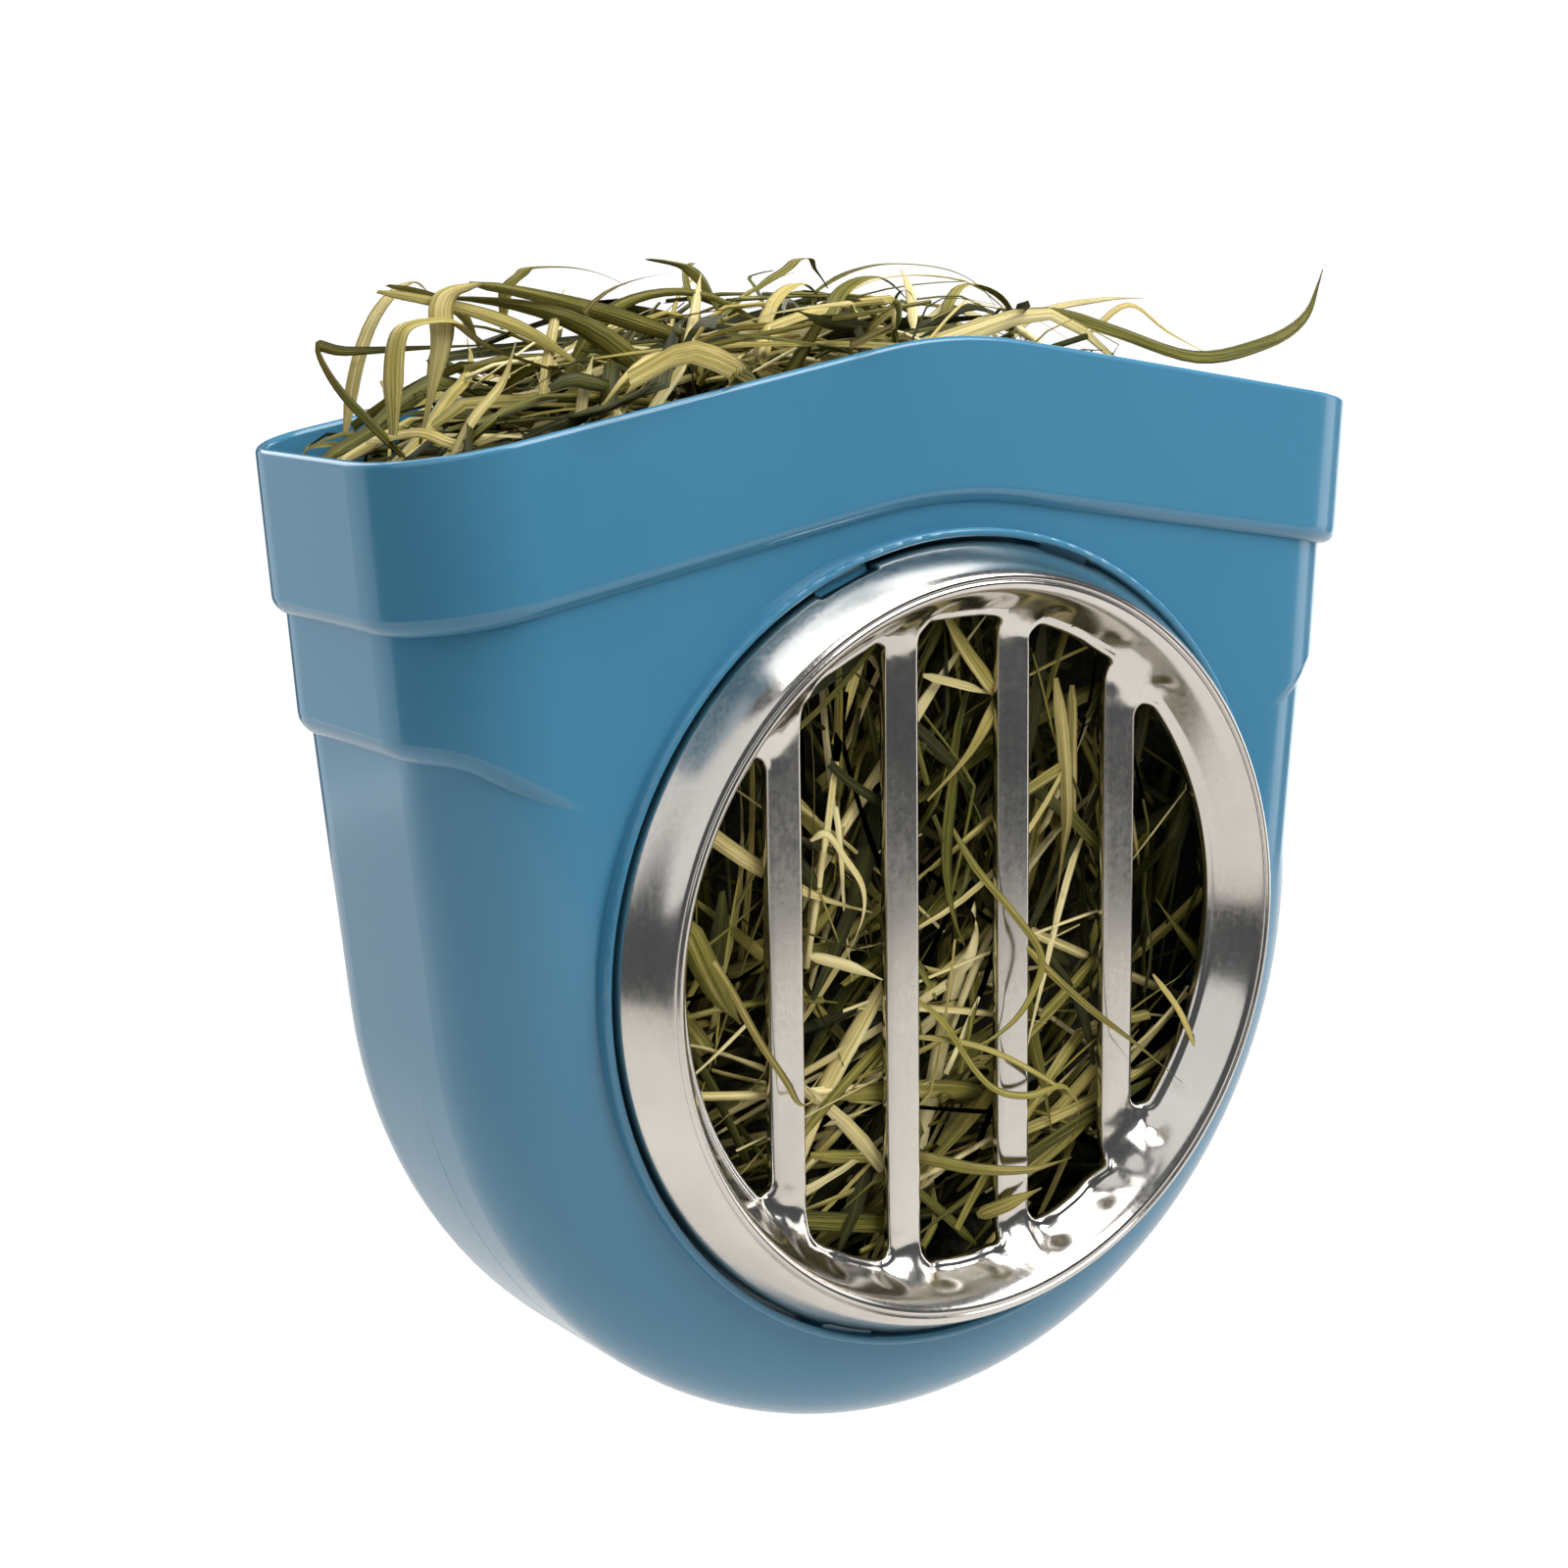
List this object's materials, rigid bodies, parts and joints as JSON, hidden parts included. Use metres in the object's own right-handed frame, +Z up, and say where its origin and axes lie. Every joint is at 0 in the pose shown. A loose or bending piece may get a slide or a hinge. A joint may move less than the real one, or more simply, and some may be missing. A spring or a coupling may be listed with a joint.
{
  "type": "hay hopper feeder",
  "caption": "Hay hopper feeder for small livestock: deep moulded bin, open at the top, with a round pressed steel grille in its front, clamped to cage wires by its back.",
  "frame": {"origin": "on the flat back face of the bin, midway between the two mounting bolts", "axes": "+X to the right of someone who looks at the grille, +Y out of the back towards the cage, +Z up; the grille faces -Y"},
  "size_m": [0.227, 0.1114, 0.2142],
  "materials": {
    "blue_plastic": "glossy",
    "stainless_sheet": "satin, polished on the crown",
    "zinc_plate": "bright zinc"
  },
  "bodies": {
    "hopper": {"hopper_body": "blue_plastic", "left_bolt": "zinc_plate", "right_bolt": "zinc_plate"},
    "grille": {"front_grille": "stainless_sheet"},
    "left_clamp": {"left_washer": "zinc_plate"},
    "left_nut": {"left_wing_nut": "zinc_plate"},
    "right_clamp": {"right_washer": "zinc_plate"},
    "right_nut": {"right_wing_nut": "zinc_plate"}
  },
  "joints": [
    {"name": "grille_pull", "type": "slide", "parent": "hopper", "child": "grille", "axis": [0, -1, 0], "range_m": [0, 0.04]},
    {"name": "left_clamp_travel", "type": "slide", "parent": "hopper", "child": "left_clamp", "axis": [0, 1, 0], "range_m": [-0.0045, 0.014]},
    {"name": "left_nut_turn", "type": "hinge", "parent": "left_clamp", "child": "left_nut", "pos_m": [-0.045, 0.011, 0], "axis": [0, 1, 0], "range_deg": [-1621, 5041]},
    {"name": "right_clamp_travel", "type": "slide", "parent": "hopper", "child": "right_clamp", "axis": [0, 1, 0], "range_m": [-0.0045, 0.014]},
    {"name": "right_nut_turn", "type": "hinge", "parent": "right_clamp", "child": "right_nut", "pos_m": [0.045, 0.011, 0], "axis": [0, 1, 0], "range_deg": [-1621, 5041]}
  ],
  "couplings": [
    {"joint": "left_nut_turn", "follows": "left_clamp_travel", "rad_per_m": 6283.2},
    {"joint": "right_nut_turn", "follows": "right_clamp_travel", "rad_per_m": 6283.2}
  ]
}
